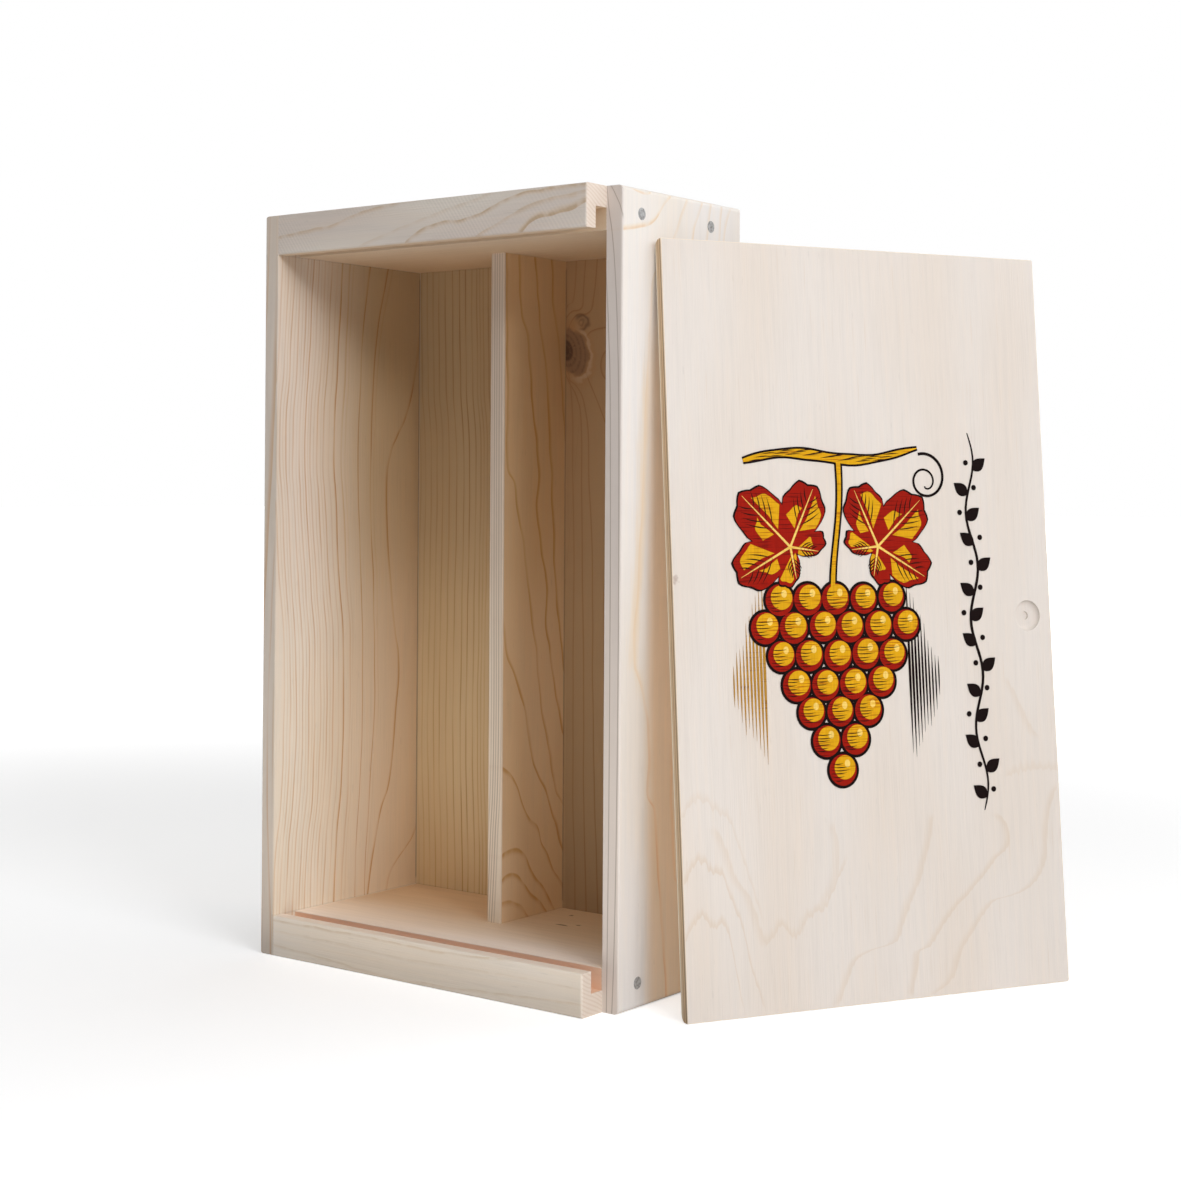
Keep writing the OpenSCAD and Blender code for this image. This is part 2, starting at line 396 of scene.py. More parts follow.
def growth_rings(g, across, deep, along, wood):
    """How dark the late wood is in a board cut from a trunk, from 0 to about 1."""
    sweep = g.math("EXPONENT", along / wood["flare_length"] * -1.0)
    p = across - wood["pith"][0] - along * wood["lean"][0] - sweep * wood["flare"][0]
    q = deep - wood["pith"][1] - along * wood["lean"][1] - sweep * wood["flare"][1]
    reach = g.distance(p, q)
    slow = g.noise(across / 55.0, deep / 55.0, along / 150.0, wood["seed"])
    quick = g.noise(across / 14.0, deep / 14.0, along / 60.0, wood["seed"] + 7.3, detail=1.0)
    reach = reach + slow * wood["wander"] + quick * wood["waver"]
    uneven = g.noise_along(reach / (wood["spacing"] * 2.6), wood["seed"] + 3.1)
    years = reach / wood["spacing"] + uneven * 0.55
    phase = g.math("FRACT", years)
    year = g.math("FLOOR", years)
    late = g.ramp(phase, wood["late_from"], 0.93) * g.ramp(phase, 1.0, 0.95)
    weight = 0.45 + g.dice(year, wood["seed"]) * 0.75
    fade = g.noise(along / 70.0, year * 3.7, 0.0, wood["seed"] + 11.0)
    return late * weight * g.ramp(fade, -1.1, 0.5)


def wood_surface(g, across, deep, along, wood, inner=None, lines=None, where=None, rear=None):
    """Colour, relief and late wood of planed wood, before knots and stains. inner is 1 on inner faces.

    lines is late wood that was laid out one by one. A wood with contrast has growth rings too, and there
    the lines take their place where `where` is 1.
    """
    broad = g.noise(across / 30.0, deep / 30.0, along / 110.0, wood["seed"] + 21.0)
    fibre = g.noise(across / 0.55, deep / 0.55, along / 22.0, wood["seed"] + 31.0, detail=1.0)
    silk = g.noise(across / 2.4, deep / 2.4, along / 45.0, wood["seed"] + 41.0)
    flecks = g.noise(across / 0.9, deep / 0.9, along / 7.0, wood["seed"] + 51.0)
    fleck = g.ramp(flecks, 1.05, 1.5)
    patches = g.ramp(broad, -0.9, 0.9)
    early = g.mix(linear(wood["pale"]), linear(wood["warm"]), patches)
    # On the boards of the box, the inner colours are painted light: warmer, for the light bounced round
    # inside.
    if inner:
        inside = g.mix(linear(wood["inner_pale"]), linear(wood["inner_warm"]), patches)
        # Painted shade: darker and warmer towards the back of the box.
        if rear:
            inside = g.mix(inside, linear(PINE_REAR), rear)
        early = g.mix(early, inside, inner)
    late = g.ramp(silk + fibre * 0.4, -0.2, 1.4) * 0.10
    if lines:
        late = g.most(lines, late)
    if wood["contrast"]:
        rings = growth_rings(g, across, deep, along, wood) * wood["contrast"]
        late = rings * (1.0 - where) + late * where
    dark = g.mix(linear(wood["late"]), linear(wood["late_dark"]), g.ramp(late, 0.4, 1.0))
    colour = g.mix(early, dark, g.least(late * 1.15, 0.92))
    colour = g.shade(colour, 1.0 + fibre * 0.022 + silk * 0.022 - fleck * 0.07)
    return colour, fibre, late


def knot(g, colour, across, along, size, strength):
    """A dark knot with its own rings, hairs and pale rim, drawn over a colour at (0, 0)."""
    x, y = across / size[0], along / size[1]
    reach = g.distance(x, y) + g.noise(across / 5.0, along / 4.0, 0.0, 90.0, detail=3.0) * 0.13
    inner_reach = g.distance(x + 0.5, y - 0.1)
    turn = g.math("ARCTAN2", y - 0.1, x + 0.5)
    hairs = g.noise(turn * 7.0, inner_reach * 0.8, 0.0, 97.0, detail=3.0)
    waves = g.math("SINE", inner_reach * 21.0 + hairs * 0.9)
    dark = g.ramp(waves * 0.22 + hairs * 0.22 + g.ramp(inner_reach, 0.75, 0.0) + 0.25, 0.1, 1.1)
    body = g.mix(linear(KNOT_RIM), linear(KNOT_HEART), dark)
    colour = g.mix(colour, linear(PINE_LATE_DARK), g.ramp(reach, 1.7, 1.1) * 0.35 * strength)
    rim = g.ramp(reach, 1.0, 1.1) * g.ramp(reach, 1.34, 1.16) * g.ramp(x - y * 0.4, -0.3, 0.7)
    colour = g.mix(colour, linear(PINE_INNER_WARM), rim * 0.25 * strength)
    return g.mix(colour, body, g.ramp(reach, 1.12, 0.84) * 0.92 * strength)


def swirl(g, colour, across, along, size, strength):
    """A small curl of dark grain beside a knot."""
    uneven_edge = g.noise(across / 3.0, along / 3.0, 0.0, 93.0) * 0.12
    reach = g.distance(across / size[0], along / size[1]) + uneven_edge
    ring = g.bell(reach, 0.8, 0.22) + g.bell(reach, 0.3, 0.16) * 0.7
    part = g.ramp(across + along * 0.5, -4.0, 1.0)
    return g.mix(colour, linear(KNOT_HEART), g.least(ring, 1.0) * part * strength * 0.6)


def paint_shading(g, colour, position, painted_shading):
    """Paints light and shade into a colour: darker or lighter from front to back and from top to bottom."""
    level = g.curve(position[2], PAINTED_SHADING_LEVELS)
    depth = g.ramp(position[1], *PAINTED_SHADING_DEPTHS)
    front_top, front_low, back_top, back_low = [(*t, 1.0) for t in painted_shading]
    front = g.mix(front_top, front_low, level)
    back = g.mix(back_top, back_low, level)
    return g.mix(colour, g.mix(front, back, depth), 1.0, blend="MULTIPLY")


def seams(g, node, position):
    """Thin dark lines where a board's inner faces meet the boards next to it."""
    x, y, z = position
    to_ends = g.least(g.size(z - bottom_high.z), g.size(z - top_low.z))
    to_sides = g.least(g.size(x - left_high.x), g.size(x - right_low.x))
    to_panel = g.size(y - panel_low.y)
    if node == "back_panel":
        to_divider = g.least(g.size(x - divider_low.x), g.size(x - divider_high.x))
        gap = g.least(g.least(to_ends, to_sides), to_divider)
    else:
        gap = g.least(to_sides if node in ("end_top", "end_bottom") else to_ends, to_panel)
    from_middle = g.size(z - (bottom_high.z + top_low.z) / 2)
    return g.line(gap, 0.22, 0.4) * (0.12 + g.ramp(from_middle, 156.0, 154.0) * 0.4)


def board(node, grain, wood, lines, painted_shading, inner=None, where=None, details=None):
    """Material of one pine board. inner gives 1 on its inner faces, where gives 1 where its lines take
    the place of growth rings, and details adds to its surface."""
    g = new_graph(node + "_wood")
    position = g.position()
    x, y, z = position
    across, deep, along = {
        "side": (y, x, z),
        "panel": (x, y, z),
        "end": (z, y, x),
    }[grain]
    inside = inner(g, position) if inner else None
    replaced = where(g, position) if where else None
    # How much painted shade of PINE_REAR an inner face takes towards the back.
    rear = g.ramp(y, *REAR_DEPTHS) * 0.85 if inner and grain != "panel" else None
    colour, height, late = wood_surface(g, across, deep, along, wood, inside, lines(g, position),
                                        replaced, rear)
    inside = inside or 1.0
    # Painted light and shade on the inner faces: darker high up and towards the back, lighter low down.
    colour = g.mix(colour, paint_shading(g, colour, position, painted_shading), inside)
    colour = g.mix(colour, linear(SEAM), seams(g, node, position) * inside)
    if details:
        colour, height = details(g, position, colour, height)
    worn = edge_nearness(g, position, node, 0.9)
    colour = g.mix(colour, linear(wood["pale"]), worn * 0.3)
    return g.finish(colour, 0.66 - late * 0.12, height, 0.03)


def dress(node, material):
    """Gives a node its material, in every slot."""
    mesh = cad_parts[node].data
    mesh.materials.clear()
    mesh.materials.append(material)


# What most boards share. Growth rings need more: pith, lean, spacing, wander, waver and a contrast.
WOOD = {
    "contrast": 0.0, "late_from": 0.62, "flare": (0.0, 0.0), "flare_length": 110.0,
    "late": PINE_LATE, "late_dark": PINE_LATE_DARK,
    "inner_pale": PINE_INNER, "inner_warm": PINE_INNER_WARM,
}


def variety(**changes):
    """The common pine with some of its values changed."""
    return {**WOOD, **changes}


left_high = box_mm("side_left")[1]
right_low, right_high = box_mm("side_right")
top_low, top_high = box_mm("end_top")
bottom_low, bottom_high = box_mm("end_bottom")
panel_low = box_mm("back_panel")[0]
divider_low, divider_high = box_mm("divider")

left_wood = variety(
    seed=1.7, pith=(left_high.y - 4.0, left_high.x - 110.0), lean=(-0.03, 0.02),
    flare=(0.0, 8.0), spacing=4.2, wander=1.6, waver=0.45, contrast=0.8,
    pale=(0.875, 0.825, 0.775), warm=(0.865, 0.805, 0.745),
)
right_wood = variety(
    seed=14.2, pith=(right_low.y + 18.0, right_high.x - 120.0), lean=(0.02, 0.01),
    spacing=6.2, wander=2.6, waver=0.7, contrast=0.3, late=OUTER_LATE, late_dark=OUTER_LATE_DARK,
    pale=(0.905, 0.885, 0.868), warm=(0.895, 0.862, 0.822),
)
top_wood = variety(
    seed=23.0, pith=(top_low.z - 26.0, top_low.y + 70.0), lean=(0.085, 0.04),
    spacing=5.4, wander=3.4, waver=1.0, contrast=0.28,
    pale=END_PALE, warm=END_WARM, late=END_LATE, late_dark=END_LATE_DARK,
)
bottom_wood = variety(
    seed=36.5, pith=(bottom_low.z - 30.0, bottom_low.y + 90.0), lean=(-0.02, 0.03),
    spacing=4.4, wander=2.2, waver=0.5, contrast=0.2,
    pale=BOTTOM_PALE, warm=(0.985, 0.925, 0.85), late=(0.90, 0.81, 0.69), late_dark=(0.85, 0.73, 0.58),
)
panel_wood = variety(
    seed=47.1, inner_pale=PANEL_PALE, inner_warm=PANEL_WARM,
    pale=(0.905, 0.855, 0.785), warm=(0.89, 0.825, 0.74), late=PANEL_LATE, late_dark=PANEL_LATE_DARK,
)
divider_wood = variety(
    seed=58.4, pale=DIVIDER_PALE, warm=DIVIDER_WARM, late=DIVIDER_LATE, late_dark=DIVIDER_LATE_DARK,
)

# Late-wood lines of the left board's inner face. Front group and back group, as distances from the
# middle of the box at the board's top, then how far the two groups drift as the lines run down.
LEFT_FRONT_LINES = [
    (-50.5, 0.45), (-46.4, 0.5), (-42.4, 0.62), (-37.9, 0.5), (-33.5, 0.6), (-29.7, 0.7), (-25.9, 0.45),
    (-21.4, 0.6), (-17, 0.6),
]
LEFT_FAINT_LINES = [
    (-48.4, 0.3), (-44.3, 0.35), (-40.1, 0.3), (-35.6, 0.35), (-31.5, 0.4), (-27.7, 0.3), (-23.6, 0.35),
    (-19.1, 0.35), (-13.2, 0.4),
]
LEFT_BACK_LINES = [(-9.6, 0.95), (-4.2, 0.6), (-1.6, 0.25), (9.5, 0.9), (22.7, 0.95), (26, 0.3)]
LEFT_DRIFT = [
    (19, -3), (32, -2.5), (50, -1.3), (83, 2.3), (117, 3.2), (134, 3.1), (174, 0), (223, -4), (241, -5),
    (281, -2.7), (330, 0), (345, 1),
]
LEFT_BACK_DRIFT = [
    (19, -19), (32, -18.5), (50, -16), (83, -11.5), (117, -7.5), (134, -8), (174, -9.4), (223, -13.3),
    (241, -13), (281, -10.5), (330, 0), (345, 3),
]
LEFT_REAR_LINE = [
    (19, 12), (43, 16.6), (60, 21), (77, 27.7), (95, 30.5), (112, 31.9), (134, 33.8), (150, 31),
    (174, 27.5), (200, 24.5), (223, 23.5), (242, 27), (250, 31), (262, 38), (285, 45.1), (300, 47.5),
    (340, 49),
]
LEFT_FOOT_LINE = [(19, 25.5), (27, 28), (33, 33), (40, 41.1), (44, 45), (60, 52)]

# Lines of the divider's right face: long ones as (height, depth), arches as (depth, height)
DIVIDER_LONG = [
    ([(60, 52), (72, 45.8), (81, 40.5), (96, 36.5), (108, 33.1), (123, 29.7), (137, 27), (153, 24.3),
      (165, 21.7), (178, 19), (193, 16.3), (209, 12.4), (226, 8.5), (235, 3.5), (270, 2.8), (336, 1.5)],
      0.75),
    ([(100, 50), (110, 45.5), (128, 40), (146, 36), (159, 33.2), (179, 33), (195, 29), (215, 25.6),
      (229, 26.5), (273, 20.5), (293, 18.4), (311, 12.7), (336, 11)], 1),
    ([(130, 49), (152, 44.4), (177, 40.9), (209, 37.9), (233, 36.4), (273, 33), (305, 27), (336, 23)],
      0.85),
    ([(240, 49), (266, 45.3), (290, 42.5), (313, 37.7), (337, 35.6)], 0.7),
    ([(35, 52), (46, 47.4), (63, 40.7), (76, 34.1), (87, 27.5), (99, 21.5), (109, 19.8), (122, 15.2),
      (134, 10.7), (147, 3.1), (163, -0.1), (180, -6)], 1),
]
DIVIDER_ARCHES = [
    ([(0, 93.5), (8.6, 87.6), (15, 75.8), (22.7, 64.6), (27.8, 60.7), (31.7, 52.2), (39.6, 40.6), (47, 31)],
      0.9),
    ([(0, 50.5), (4.1, 52.3), (10.2, 52.8), (16.5, 49.5), (22.9, 41.5), (30.6, 33.1), (41.8, 20.1),
      (48, 11)], 0.9),
    ([(0, 38.3), (5.4, 41.3), (11.6, 40.4), (17.9, 35.5), (25.6, 28.3), (34.6, 20.1), (41, 12)], 0.85),
    ([(0, 28.8), (6.8, 28.5), (13, 26.4), (20.6, 20.4), (26, 12)], 0.7),
]
DIVIDER_EDGE = [(-3.9, 0.5), (-2.4, 0.75), (-1, 0.65), (0.5, 0.75), (2, 0.5)]
DIVIDER_EDGE_DRIFT = [(19, -2.6), (60, -0.6), (110, 1), (180, 0.6), (260, 0.2), (340, 0)]

# Lines of the back panel: a close group in the left bay, single ones round the knot in the right bay.
# Those below and above the knot are (height, x), the curls beside it (x, height).
PANEL_LEFT_LINES = [
    (-95, 0.4), (-91.6, 0.5), (-88.2, 0.55), (-84.2, 0.6), (-80.3, 0.7), (-76.4, 0.75), (-71.9, 0.75),
    (-67, 0.8), (-62, 0.95), (-58.2, 0.9),
]
PANEL_MIDDLE_LINES = [
    (-53.9, 0.8), (-50.6, 0.7), (-48.5, 0.6), (-46.3, 0.6), (-43, 0.7), (-38.4, 0.7), (-33.6, 0.8),
    (-28.3, 0.7), (-22.9, 0.8), (-17.8, 0.7),
]
PANEL_DRIFT = [
    (19, 0.7), (29, 0.7), (97, -1.3), (160, -0.8), (234, 0), (276, -2.7), (326, -3.6), (340, -3.8),
]
PANEL_BELOW_KNOT = [
    ([(19, 11.2), (39, 10.9), (71, 9.7), (128, 9.2), (193, 9.2), (229, 8.3), (262, 7.6), (284, 3)], 0.75),
    ([(19, 18), (39, 17.5), (71, 16.3), (128, 15.8), (193, 14.3), (229, 13.9), (258, 13.1), (268, 10.6),
      (277, 5.5), (284, 2)], 0.85),
    ([(19, 25.3), (39, 24.6), (71, 22.8), (128, 21.4), (193, 20.4), (229, 18.4), (250, 17.7), (264, 15.6),
      (274, 10.5), (279, 4.4), (284, 1)], 0.85),
    ([(19, 33.5), (71, 31), (128, 28.4), (193, 28.4), (240, 32.5), (257, 27.9), (262, 25.5), (272, 20.5),
      (280, 16.5), (286, 14)], 0.9),
]
PANEL_ABOVE_KNOT = [
    ([(304, 2), (314, 4.2), (316, 7.4), (322, 8.6), (340, 9.6)], 0.7),
    ([(310, 6), (312, 11.2), (314, 13.7), (321, 14.2), (340, 15.8)], 0.8),
    ([(308, 10), (310, 16.3), (312, 19.2), (318, 20.6), (325, 21.6), (340, 22.8)], 0.9),
]
PANEL_CURLS = [
    ([(0, 304), (4, 309), (7, 311.4), (11.2, 312), (13.6, 313.6), (14.4, 318)], 0.9),
    ([(5, 303), (7.5, 307.6), (10.2, 309.7), (16.3, 309.9), (19.4, 312.2), (20.6, 318)], 1),
    ([(15.5, 296), (17.3, 299.9), (21.3, 301.9), (27.7, 302.8), (40, 306)], 0.9),
]
KNOT_AT = (8.3, 291.3)
KNOT_SIZE = (9.0, 11.6)
SWIRL_AT = (12.4, 305.6)
SWIRL_SIZE = (5.5, 4.2)
EYE_AT = (29.8, 284.4)
EYE_SIZE = (5.2, 7.4)

# Lines of the right board's outer face and front edge
RIGHT_MAIN_LINE = [
    (0, -4), (32, -7.7), (62, -11.3), (84, -13.9), (89, -17.8), (93, -19.2), (111, -18.5), (131, -22.1),
    (145, -27.1), (151, -29.5), (180, -27), (220, -24), (266, -21.7), (292, -19.7), (313, -17.6), (326, -9),
    (336, -1.5), (344, 3.2), (355, 9.1),
]
RIGHT_LONG = [
    ([(0, 7), (49, 5), (53, 2.4), (129, -0.9), (200, 1), (260, 4), (300, 8), (338, 14.1), (347, 17.7),
      (355, 21.9)], 0.6),
    ([(0, 16), (90, 13), (180, 12), (300, 20), (344, 26.4), (355, 28.8)], 0.5),
    ([(0, 25), (120, 22), (240, 24), (330, 34), (355, 38)], 0.45),
    ([(0, 33), (150, 31), (260, 33), (355, 45)], 0.4),
]
# Arcs round the upper nail, as (depth, height), each with its strength and softness
RIGHT_ARCS = [
    ([(-40, 335.6), (-29.2, 337.5), (-19, 340.3), (-13.3, 344.6), (-7.5, 350.6), (-1.1, 356)], 0.8, 2.6),
    ([(-38, 357), (-35, 355.2), (-26, 353), (-22.6, 352.9), (-18, 354.2), (-14, 358)], 0.7, 1.5),
]
RIGHT_EDGE_LINES = [
    [(0, 98.5), (40, 99.8), (100, 100.6), (200, 100.8), (262, 100.3), (290, 99.5), (315, 98.2), (333, 96.5),
      (345, 94.5), (355, 93.3)],
    [(0, 95.6), (120, 96.4), (260, 95.8), (290, 94.8), (320, 93), (330, 92)],
    [(326, 104), (344, 101.2), (350, 98.5), (355, 95.5)],
]

# Lines of the ends' front faces, as (distance along the board, height)
TOP_LINES = [
    ([(-102, 343.5), (-84.5, 345.6), (-70.3, 346.5), (-61.6, 347.1), (-41, 351.7), (-21, 354.6), (10, 358)],
      0.65),
    ([(-45, 334), (-35, 338), (-15, 343), (0, 346.5), (20, 350.5), (40, 355), (50, 358)], 0.3),
    ([(-13, 334), (-9.3, 337.2), (1.9, 342.4), (13.1, 344), (24, 344.4), (39.4, 347.9), (48.5, 351.2),
      (58.9, 353.3), (76, 354.2), (98, 354.4)], 0.8),
    ([(28, 334), (33.4, 337.2), (47, 342.1), (57.5, 346.5), (69.2, 349), (90.8, 351.2), (98, 352)], 0.6),
]
TOP_ARC = [(55, 333.5), (59, 337.1), (64.9, 340.7), (76.6, 342.7), (83.8, 343.8), (92.6, 346.5), (98, 348)]
BOTTOM_LINES = [
    ([(-102, 16.6), (-68.3, 17.2), (-25.6, 17.3), (1.6, 16.9), (29.7, 17.7), (44.3, 18.8), (60, 20.5)],
      0.55),
    ([(-102, 6.2), (-89.4, 5.4), (-50, 3), (-17.6, 1.2), (16.9, 2.2), (70.9, 5.1), (98, 6.5)], 0.4),
    ([(-102, 11.4), (-60, 12.2), (-20, 11), (30, 12), (70, 12.6), (98, 11.8)], 0.25),
]
# Dark marks on the floor of the right bay, as (x, y, half length)
FLOOR_MARKS = ((27.2, 16.8, 3.4), (33.9, 21.0, 1.7), (18.0, 36.3, 1.2))


def traced(g, at, along, lines, soft=1.3, crisp=0.35):
    """Late wood along curves given as (along, at), each with its strength."""
    late = None
    for points, weight in lines:
        one = g.streak(at - g.curve(along, points), soft, crisp) * weight
        late = g.most(late, one) if late else one
    return late


def uneven(g, field, at, along, seed, low=-1.0, high=0.4):
    """Lets lines fade in places."""
    fade = g.noise(at / 5.0, along / 45.0, 0.0, seed)
    return field * (0.5 + g.ramp(fade, low, high) * 0.5)


def left_lines(g, position):
    x, y, z = position
    y = y + g.noise(y / 9.0, z / 28.0, 0.0, 101.0) * 0.35
    drift = g.curve(z, LEFT_DRIFT)
    back_drift = g.curve(z, LEFT_BACK_DRIFT)
    share = g.ramp(y, -6.0, 20.0)
    front = g.profile(y - drift, LEFT_FRONT_LINES, 1.0, 0.35)
    back = g.profile(y - drift - (back_drift - drift) * share, LEFT_BACK_LINES, 1.3, 0.45)
    rear = traced(g, y, z, [(LEFT_REAR_LINE, 0.85), (LEFT_FOOT_LINE, 0.7)], 1.9, 0.6)
    between = g.profile(y - drift, LEFT_FAINT_LINES, 0.8, 0.4) * g.ramp(y, 0.0, -12.0)
    return uneven(g, g.most(g.most(front * 1.2, between), g.most(back, rear)), y, z, 103.0)


def divider_lines(g, position):
    x, y, z = position
    wobble = g.noise(y / 9.0, z / 14.0, 0.0, 107.0) * 0.55
    y, z = y + wobble, z + wobble
    mirrored = [([(at_z, -at_y) for at_z, at_y in points], weight) for points, weight in DIVIDER_LONG]
    long_lines = traced(g, y * -1.0, z, mirrored, 2.2, 0.6)
    arches = traced(g, z, y, DIVIDER_ARCHES, 3.2, 1.0)
    foot = g.ramp(z - g.curve(y, [(a, b + 6.0) for a, b in DIVIDER_ARCHES[0][0]]), 4.0, -4.0)
    return uneven(g, g.most(long_lines, arches * foot), y, z, 109.0)


def panel_lines(g, position):
    x, y, z = position
    x = x + g.noise(x / 7.0, z / 30.0, 0.0, 113.0) * 0.22
    inner = panel_inside(g, position)
    folded = x * inner + g.least(x, x * -1.0 - 10.0) * (1.0 - inner)
    drift = folded - g.curve(z, PANEL_DRIFT)
    close = g.most(*[g.profile(drift, lines, 0.9, 0.3) for lines in (PANEL_LEFT_LINES, PANEL_MIDDLE_LINES)])
    below = traced(g, x, z, PANEL_BELOW_KNOT, 1.1, 0.4) * g.ramp(z, 285.0, 279.0)
    above = traced(g, x, z, PANEL_ABOVE_KNOT, 1.1, 0.4) * g.ramp(z, 309.0, 314.0)
    curls = traced(g, z, x, PANEL_CURLS, 1.3, 0.5) * g.ramp(x, 24.0, 20.0)
    curls = g.most(curls, traced(g, z, x, PANEL_CURLS[-1:], 1.3, 0.5) * g.ramp(x, 16.0, 18.0))
    eye = g.distance((x - EYE_AT[0]) / EYE_SIZE[0], (z - EYE_AT[1]) / EYE_SIZE[1]) - 1.0
    eye = g.streak(eye * -5.0, 0.5, 1.2) * 0.85
    right = g.most(g.most(below, above), g.most(curls, eye)) * g.ramp(x, 2.0, 4.0)
    return g.most(uneven(g, close, x, z, 115.0), right * inner)


def right_lines(g, position):
    x, y, z = position
    y = y + g.noise(y / 8.0, z / 16.0, 0.0, 119.0) * 0.5
    main = y - g.curve(z, RIGHT_MAIN_LINE)
    late = g.streak(main * -1.0, 2.6, 0.7) * (0.45 + g.ramp(z, 155.0, 120.0) * 0.4)
    late = g.most(late, traced(g, y, z, RIGHT_LONG, 2.2, 0.7))
    for points, weight, soft in RIGHT_ARCS:
        arc = g.streak((z - g.curve(y, points)) * -1.0, soft, 0.8) * weight
        late = g.most(late, arc * g.ramp(y, 6.0, 2.0))
    return uneven(g, late, y, z, 121.0)


def top_lines(g, position):
    x, y, z = position
    z = z + g.noise(x / 9.0, z / 6.0, 0.0, 127.0) * 0.35
    late = traced(g, z, x, TOP_LINES, 2.4, 0.6)
    arc = g.streak((z - g.curve(x, TOP_ARC)) * -1.0, 3.8, 0.7) * 1.1
    return uneven(g, g.most(late, arc), x, z, 129.0)


def bottom_lines(g, position):
    x, y, z = position
    z = z + g.noise(x / 12.0, z / 6.0, 0.0, 131.0) * 0.35
    return uneven(g, traced(g, z, x, BOTTOM_LINES, 1.5, 0.5), x, z, 133.0)


def near(axis, start, end):
    """A mask that goes from 0 at one place on an axis to 1 at another."""
    def mask(g, position):
        return g.ramp(position[axis], start, end)
    return mask


left_inside = near(0, left_high.x - 1.0, left_high.x - 0.3)
right_inside = near(0, right_low.x + 1.0, right_low.x + 0.3)
right_face = near(0, right_high.x - 0.6, right_high.x - 0.2)
right_front = near(1, right_low.y + 0.9, right_low.y + 0.3)
divider_front = near(1, divider_low.y + 1.3, divider_low.y + 0.6)
panel_inside = near(1, panel_low.y + 0.9, panel_low.y + 0.4)
top_front = near(1, top_low.y + 0.6, top_low.y + 0.2)
bottom_front = near(1, bottom_low.y + 0.6, bottom_low.y + 0.2)


def right_outside(g, position):
    """1 on the right board's outer face and front edge."""
    return g.most(right_face(g, position), right_front(g, position))


def end_inside(low, from_inside):
    """Inner faces of an end board: all that lies behind its front and faces the room inside.

    from_inside gives a height's distance from the face that turns to that room.
    """
    def inside(g, position):
        x, y, z = position
        return g.ramp(y, low.y + 0.8, low.y + 1.6) * g.ramp(from_inside(z), 11.5, 10.5)
    return inside


def right_details(g, position, colour, height):
    """Yellow resin along the main line, painted warm light in the lid's shade, and the front edge with its
    lines and painted shade.
    """
    x, y, z = position
    outside = right_face(g, position)
    blot = g.noise(y / 3.0, z / 26.0, 0.0, 61.0, detail=2.0)
    near = g.bell(y - g.curve(z, RIGHT_MAIN_LINE), 0.0, 5.5)
    stain = near * g.ramp(z, 95.0, 175.0) * g.ramp(z, 325.0, 250.0)
    colour = g.mix(colour, linear(RESIN), outside * g.ramp(stain + blot * 0.28, 0.25, 1.1) * 0.32)
    # Painted light: the outer face turns warmer behind the lid's edge and below the top, where the lid
    # shades it.
    shade = outside * g.ramp(y, *SHADE_FROM_Y) * g.ramp(z, *SHADE_BELOW_Z)
    colour = g.mix(colour, PAINTED_SHADE_WARMTH, shade, blend="MULTIPLY")
    lines = traced(g, x, z, [(points, 0.8) for points in RIGHT_EDGE_LINES], 0.6, 0.25)
    return front_edge(g, position, colour, lines, right_front, EDGE_PAINTED_SHADING), height


def saw_marks(g, x, z, seed):
    """Fine slanting lines that a saw leaves across a face."""
    slant = (x * 0.81 + z * 0.58) / 1.7
    wave = g.math("SINE", slant * 6.2832 + g.noise(x / 30.0, z / 30.0, 0.0, seed) * 2.0)
    patch = g.ramp(g.noise(x / 40.0, z / 25.0, 3.0, seed), -0.7, 0.9)
    return wave * patch


def end_details(low, high, from_outside, groove, sawn):
    """Saw marks in front, dense rings on the cut ends and a groove painted warmer, standing in for the light
    bounced in it.

    from_outside gives a height's distance from the face that turns away from the room inside.
    """
    def details(g, position, colour, height):
        x, y, z = position
        front = g.ramp(y, low.y + 0.5, low.y + 0.2)
        marks = saw_marks(g, x, z, low.z) * front * sawn
        colour = g.shade(colour, 1.0 + marks * 0.04)
        cut_end = g.ramp(g.least(x - low.x, high.x - x), 0.5, 0.2)
        rings = g.math("SINE", (y * 0.45 + z * 0.89) * 3.9 + g.noise(y / 12.0, z / 12.0, 0.0, 71.0) * 2.4)
        pores = g.noise(y / 0.35, z / 0.35, 0.0, 73.0, detail=2.0)
        end_colour = g.mix(linear(CUT_END_PALE), linear(CUT_END_LATE), g.ramp(rings, -0.4, 1.2))
        end_colour = g.shade(end_colour, 1.0 + pores * 0.05)
        colour = g.mix(colour, end_colour, cut_end * 0.9)
        depth = from_outside(z)
        # Painted light in the groove: its walls take a warmer colour.
        in_groove = g.ramp(y, low.y + 5.5, low.y + 6.2) * g.ramp(y, low.y + 15.0, low.y + 14.4)
        in_groove = in_groove * g.ramp(depth, 9.0, 9.4) * g.ramp(depth, 18.9, 18.5)
        colour = g.mix(colour, linear(groove), in_groove * (1.0 - cut_end) * 0.85)
        return colour, height + marks * 0.5 + cut_end * pores * 0.6
    return details


top_details = end_details(top_low, top_high, lambda z: top_high.z - z, GROOVE_TOP, 1.0)
bottom_details = end_details(bottom_low, bottom_high, lambda z: z - bottom_low.z, GROOVE, 0.15)


def floor_marks(g, position, colour, height):
    """The lower end: as any end, with three small dark marks in the right bay."""
    colour, height = bottom_details(g, position, colour, height)
    x, y, z = position
    wobble = g.noise(x / 2.0, y / 1.0, 0.0, 137.0) * 0.4
    top = g.ramp(z, bottom_high.z - 0.4, bottom_high.z - 0.1)
    for at_x, at_y, length in FLOOR_MARKS:
        reach = g.distance((x - at_x) / length, (y - at_y) / 1.1) + wobble
        colour = g.mix(colour, linear(KNOT_HEART), g.ramp(reach, 1.2, 0.5) * top * 0.7)
    return colour, height


